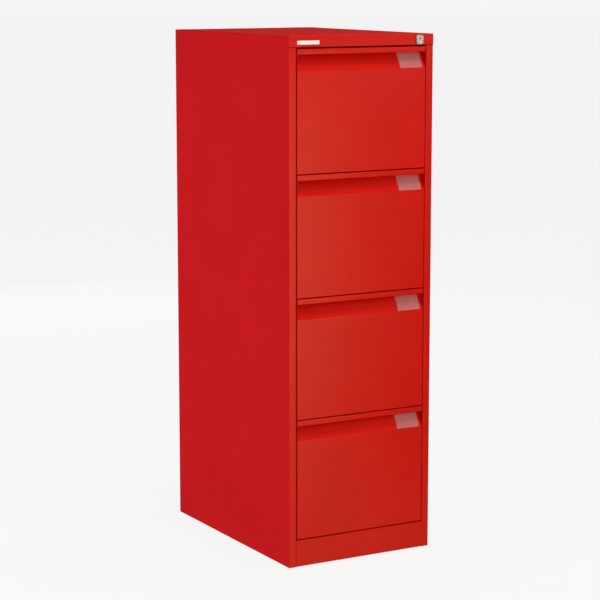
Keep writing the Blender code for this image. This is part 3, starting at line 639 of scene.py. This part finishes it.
# each cage is a channel: its lips end at the tip and its web runs between the two rows of balls
cages = {
    "sheet": 0.4 * mm, "overhang": 8 * mm,
    "outerTip": 0.1762, "outerWeb": 0.1838, "innerTip": 0.1752, "innerWeb": 0.1811,
}
for drawer, level in drawers:
    height = level + slides["height"]
    body = bmesh.new()
    for side in (-1, 1):
        for row in ("outer", "inner"):
            low, high = slides[row + "Span"]
            offset, tip, web = slides[row + "Row"], cages[row + "Tip"], cages[row + "Web"]
            path = [(tip, height + offset), (web, height + offset),
                    (web, height - offset), (tip, height - offset)]
            channelBody(body, path, -cages["sheet"], low - cages["overhang"], high + cages["overhang"], side)
    piece = finished(bodyMesh(body, drawer + "_ball_cages"), drawer + "_ball_cages", zinc, 30)
    settle(piece, drawer + "_middle_slides")
print("slide balls and cages made")

fixings = {
    "rivetRadius": 3.2 * mm, "rivetHeight": 0.55 * mm, "screwRadius": 3.9 * mm, "screwHeight": 1.0 * mm,
    "weldRadius": 2.6 * mm,
    "slideRivets": (-0.266, 0.268), "rivetSpread": 9 * mm, "slideScrews": (-0.240, -0.080, 0.100, 0.250),
    "frontWall": -0.2837, "frontRivets": (-0.150, -0.050, 0.050, 0.150), "frontRivetDrops": (-0.030, -0.292),
    "backFace": 0.3099, "backEdge": 0.183, "backUprights": (0.05, 1.29), "backUprightStep": 0.105,
    "backRows": (0.030, 1.300), "backRowSpan": (-0.15, 0.15), "backRowStep": 0.1,
    "traySide": 0.1725, "trayWelds": (-0.279, 0.270), "trayWeldDrops": (-0.090, -0.140, -0.230, -0.280),
}
rivet = domeShape("rivetShape", fixings["rivetRadius"], fixings["rivetHeight"])
screw = screwShape("screwShape", fixings["screwRadius"], fixings["screwHeight"])
weld = weldShape("weldShape", fixings["weldRadius"])

# fixed members are riveted to the stile and to the rear post
spots = []
for level in cabinet["levels"]:
    for side, facing in ((-1, "right"), (1, "left")):
        for y in fixings["slideRivets"]:
            for up in (-fixings["rivetSpread"], fixings["rivetSpread"]):
                spots.append((side * slides["outerWeb"], y, level + slides["height"] + up, facing))
hardwarePiece("carcass_slide_rivets", rivet.copy(), spots, zinc, "carcass")

for drawer, level in drawers:
    spots = [(side * slides["innerWeb"], y, level + slides["height"], facing)
             for side, facing in ((-1, "left"), (1, "right")) for y in fixings["slideScrews"]]
    hardwarePiece(f"{drawer}_slide_screws", screw.copy(), spots, zinc, drawer,
                  spin=math.pi, seed=7 + cabinet["drawers"].index(drawer))
    # rivets through the tray's front wall into the flanges of the front
    spots = [(x, fixings["frontWall"], level + drop, "rear")
             for x in fixings["frontRivets"] for drop in fixings["frontRivetDrops"]]
    hardwarePiece(f"{drawer}_front_rivets", rivet.copy(), spots, zinc, drawer)

# spot welds run down both edges of the back panel, and along its foot and its head
spots = [(side * fixings["backEdge"], fixings["backFace"], z, "rear")
         for side in (-1, 1) for z in spanPoints(fixings["backUprights"], fixings["backUprightStep"])]
spots += [(x, fixings["backFace"], z, "rear")
          for x in spanPoints(fixings["backRowSpan"], fixings["backRowStep"]) for z in fixings["backRows"]]
hardwarePiece("back_panel_weld_marks", weld.copy(), spots, paint, "carcass")

# folded corners of the tray carry a row of weld marks, seen when a drawer is open
for drawer, level in drawers:
    spots = [(side * fixings["traySide"], y, level + drop, facing)
             for side, facing in ((-1, "left"), (1, "right"))
             for y in fixings["trayWelds"] for drop in fixings["trayWeldDrops"]]
    hardwarePiece(f"{drawer}_tray_weld_marks", weld.copy(), spots, paint, drawer)
print("fixings made")


# each tray floor has three long pressed ribs
ribs = {"half": 5.0 * mm, "height": 1.6 * mm, "places": (-0.105, 0.0, 0.105), "low": -0.235, "high": 0.225,
        "taper": 14 * mm, "floor": -0.2973}


def ribBody(body, x, floor):
    rings = []
    for y, share in ((ribs["low"], 0.15), (ribs["low"] + ribs["taper"] * 0.4, 0.75),
                     (ribs["low"] + ribs["taper"], 1.0), (ribs["high"] - ribs["taper"], 1.0),
                     (ribs["high"] - ribs["taper"] * 0.4, 0.75), (ribs["high"], 0.15)):
        ring = []
        for step in range(9):
            angle = math.pi * step / 8
            ring.append(body.verts.new((x - ribs["half"] * share * math.cos(angle), y,
                                        floor - 0.05 * mm + ribs["height"] * share * math.sin(angle))))
        rings.append(ring)
    for low, high in zip(rings, rings[1:]):
        for step in range(9):
            following = (step + 1) % 9
            body.faces.new((low[step], low[following], high[following], high[step]))
    body.faces.new(rings[0])
    body.faces.new(rings[-1][::-1])


for drawer, level in drawers:
    body = bmesh.new()
    for x in ribs["places"]:
        ribBody(body, x, level + ribs["floor"])
    piece = finished(bodyMesh(body, drawer + "_tray_ribs"), drawer + "_tray_ribs", paint, 60)
    settle(piece, drawer)
print("tray ribs made")


# a welded seam closes the joint between each stile and the plinth rail
seam = {"x": 0.18585, "half": 0.55 * mm, "face": -0.3056, "crown": 0.12 * mm, "depth": 1.4 * mm,
        "low": 0.0035, "high": 0.0686}
outline = [(-1.0, seam["depth"]), (-1.0, seam["crown"]), (0.0, 0.0), (1.0, seam["crown"]), (1.0, seam["depth"])]
body = bmesh.new()
for side in (-1, 1):
    bead = [body.verts.new((side * seam["x"] + across * seam["half"], seam["face"] + inwards, z))
            for z in (seam["low"], seam["high"]) for across, inwards in outline]
    for step in range(5):
        following = (step + 1) % 5
        body.faces.new((bead[step], bead[following], bead[following + 5], bead[step + 5]))
    body.faces.new(bead[:5][::-1])
    body.faces.new(bead[5:])
settle(finished(bodyMesh(body, "plinth_seams"), "plinth_seams", paint, 60), "carcass")
print("plinth seams made")


# the levelling feet have screw threads and lock nuts
feet = {
    "places": [(x, y) for x in (-0.180, 0.180) for y in (-0.240, 0.240)],
    "root": 4.7 * mm, "crest": 5.15 * mm, "flank": 0.55 * mm, "land": 0.08 * mm, "pitch": 1.5 * mm,
    "low": 9.0 * mm, "high": 57.0 * mm,
    "nutRadius": 8.3 * mm, "nutHeight": 5.0 * mm, "nutEase": 0.5 * mm, "nutEdge": 0.7 * mm, "nutLevel": 43.5 * mm,
}
thread = latheMesh("threadShape", [(feet["root"], -feet["flank"]), (feet["crest"], -feet["land"]),
                                   (feet["crest"], feet["land"]), (feet["root"], feet["flank"])], 18)
turns = spanPoints((feet["low"], feet["high"]), feet["pitch"])
spots = [(x, y, z, "up") for x, y in feet["places"] for z in turns]
hardwarePiece("levelling_foot_threads", thread, spots, zinc, "carcass", smoothAngle=25)
eased = feet["nutRadius"] - feet["nutEdge"]
nut = latheMesh("nutShape", [(eased, 0), (feet["nutRadius"], feet["nutEase"]),
                             (feet["nutRadius"], feet["nutHeight"] - feet["nutEase"]),
                             (eased, feet["nutHeight"])], 6)
spots = [(x, y, feet["nutLevel"], "up") for x, y in feet["places"]]
hardwarePiece("levelling_foot_nuts", nut, spots, zinc, "carcass",
              spin=math.pi / 3, seed=3, smoothAngle=25)
print("feet made")


studio = {
    "reach": 60.0, "paper": 0.913, "paperDiffuse": 0.06, "paperGlow": 0.868,
    "room": (0.42, 0.42, 0.43), "walls": (0.15, 0.15, 0.155), "wallReach": 30.0,
}


def glowFinish(name, strength, colour=(1, 1, 1), diffuse=0.0, sampling="NONE"):
    finish = bpy.data.materials.new(name)
    finish.use_nodes = True
    shader = finish.node_tree.nodes["Principled BSDF"]
    shader.inputs["Base Color"].default_value = (diffuse, diffuse, diffuse, 1)
    shader.inputs["Roughness"].default_value = 0.9
    shader.inputs["Specular IOR Level"].default_value = 0.0
    shader.inputs["Emission Color"].default_value = (*colour, 1)
    shader.inputs["Emission Strength"].default_value = strength
    finish.cycles.emission_sampling = sampling
    return finish


def stageShape(name, mesh, material, seenBy):
    mesh.materials.append(material)
    item = bpy.data.objects.new(name, mesh)
    scene.collection.objects.link(item)
    for flag in ("camera", "diffuse", "glossy", "transmission", "shadow"):
        setattr(item, "visible_" + flag, flag in seenBy)


def discMesh(name, radius, z):
    body = bmesh.new()
    bmesh.ops.create_circle(body, cap_ends=True, segments=96, radius=radius)
    for vertex in body.verts:
        vertex.co.z = z
    return bodyMesh(body, name)


def sphereMesh(name, radius):
    body = bmesh.new()
    bmesh.ops.create_uvsphere(body, u_segments=48, v_segments=24, radius=radius)
    return bodyMesh(body, name)


def cardMesh(name, centre, width, height, target=(0, 0, 0.7)):
    # a flat reflector that faces the cabinet
    centre, target = Vector(centre), Vector(target)
    away = (centre - target).normalized()
    side = Vector((0, 0, 1)).cross(away)
    side = side.normalized() if side.length > 0.01 else Vector((1, 0, 0))
    up = away.cross(side)
    body = bmesh.new()
    body.faces.new([body.verts.new(centre + side * across * width / 2 + up * rise * height / 2)
                    for across, rise in ((-1, -1), (1, -1), (1, 1), (-1, 1))])
    mesh = bpy.data.meshes.new(name)
    body.to_mesh(mesh)
    body.free()
    return mesh


stageShape("paleFloor", discMesh("paleFloor", studio["reach"], 0.0),
           glowFinish("paleFloorPaper", studio["paperGlow"], diffuse=studio["paperDiffuse"]),
           ("camera", "transmission"))
stageShape("paleBackdrop", sphereMesh("paleBackdrop", studio["reach"] * 0.99),
           glowFinish("paleBackdropPaper", studio["paper"]), ("camera", "transmission"))
stageShape("dimRoom", sphereMesh("dimRoom", studio["wallReach"]),
           glowFinish("dimRoomPaint", 1.0, studio["walls"]), ("glossy",))
# what the paint and the metal mirror, as centre, width, height, strength and colour
cards = {
    "glareCard": ((1.84, -4.6, 0.25), 0.9, 1.5, 4.4, (1.0, 0.74, 0.44)),
    "lowGlareCard": ((1.84, -4.6, -1.30), 0.9, 1.5, 2.6, (1.0, 0.74, 0.44)),
    "plinthCard": ((1.1, -2.4, -0.9), 2.6, 0.9, 0.5, (1.0, 0.8, 0.55)),
    "lockCard": ((2.88, -4.6, 1.15), 0.36, 0.46, 2.8, (0.95, 1.0, 1.0)),
    "frontFlag": ((4.1, -5.0, 0.2), 3.6, 6.0, 0.012, (1.0, 0.8, 0.6)),
    "overheadCard": ((0.0, -0.6, 6.0), 5.0, 5.0, 0.9, (1, 1, 1)),
    "rightCard": ((6.0, -1.0, 1.6), 5.0, 4.0, 0.9, (1, 1, 1)),
    "leftCard": ((-6.0, -1.9, 1.6), 3.0, 3.0, 0.6, (1, 1, 1)),
    "frontLeftCard": ((-4.4, -5.0, 1.8), 3.0, 3.0, 0.8, (1, 1, 1)),
    "backFlag": ((3.6, 6.2, 0.9), 7.0, 3.6, 0.010, (1, 1, 1)),
    "sideFlag": ((-3.6, 5.8, 0.0), 5.0, 4.6, 1.0, (0.045, 0.050, 0.150)),
}
for name, (centre, width, height, strength, colour) in cards.items():
    paper = glowFinish(name + "Paper", strength, colour, sampling="AUTO")
    stageShape(name, cardMesh(name, centre, width, height), paper, ("glossy",))

world = bpy.data.worlds.new("softRoom")
scene.world = world
world.use_nodes = True
background = world.node_tree.nodes["Background"]
background.inputs["Color"].default_value = (*studio["room"], 1)
background.inputs["Strength"].default_value = 1.0
world.cycles_visibility.glossy = False
world.cycles_visibility.camera = False


def softLight(name, location, target, width, height, power, colour):
    data = bpy.data.lights.new(name, "AREA")
    data.shape = "RECTANGLE"
    data.size, data.size_y = width, height
    data.energy = power
    data.color = colour
    item = bpy.data.objects.new(name, data)
    item.location = location
    item.rotation_euler = (Vector(target) - Vector(location)).to_track_quat("-Z", "Y").to_euler()
    item.visible_glossy = False
    scene.collection.objects.link(item)


# location, target, width, height, power and colour
lights = {
    "frontLight": ((-0.35, -4.6, 1.5), (0.0, -0.3, 0.75), 1.6, 2.2, 94, (1.0, 0.93, 0.84)),
    "leftLight": ((-3.4, 0.2, 0.75), (0.0, 0.0, 0.70), 0.9, 0.8, 58, (0.97, 0.98, 1.0)),
    "topLight": ((0.2, -0.6, 4.6), (0.0, 0.0, 1.0), 1.6, 1.6, 132, (1.0, 0.90, 0.78)),
    "rightLight": ((3.6, 0.6, 1.2), (0.0, 0.0, 0.7), 1.4, 1.4, 24, (1, 1, 1)),
    "backLight": ((0.8, 4.2, 1.4), (0.0, 0.0, 0.7), 1.6, 1.6, 34, (1, 1, 1)),
}
for name, values in lights.items():
    softLight(name, *values)

viewpoint = {"place": (-2.5806, -4.5336, 1.4839), "tilt": 80.6, "turn": -29.63, "focal": 120.6, "sensor": 36}
lens = bpy.data.cameras.new("camera")
lens.lens = viewpoint["focal"]
lens.sensor_width = viewpoint["sensor"]
lens.clip_start, lens.clip_end = 0.05, 200
camera = bpy.data.objects.new("camera", lens)
camera.location = viewpoint["place"]
camera.rotation_euler = (math.radians(viewpoint["tilt"]), 0, math.radians(viewpoint["turn"]))
scene.collection.objects.link(camera)
scene.camera = camera
scene.view_settings.view_transform = "Standard"
scene.view_settings.look = "None"
print("studio set")
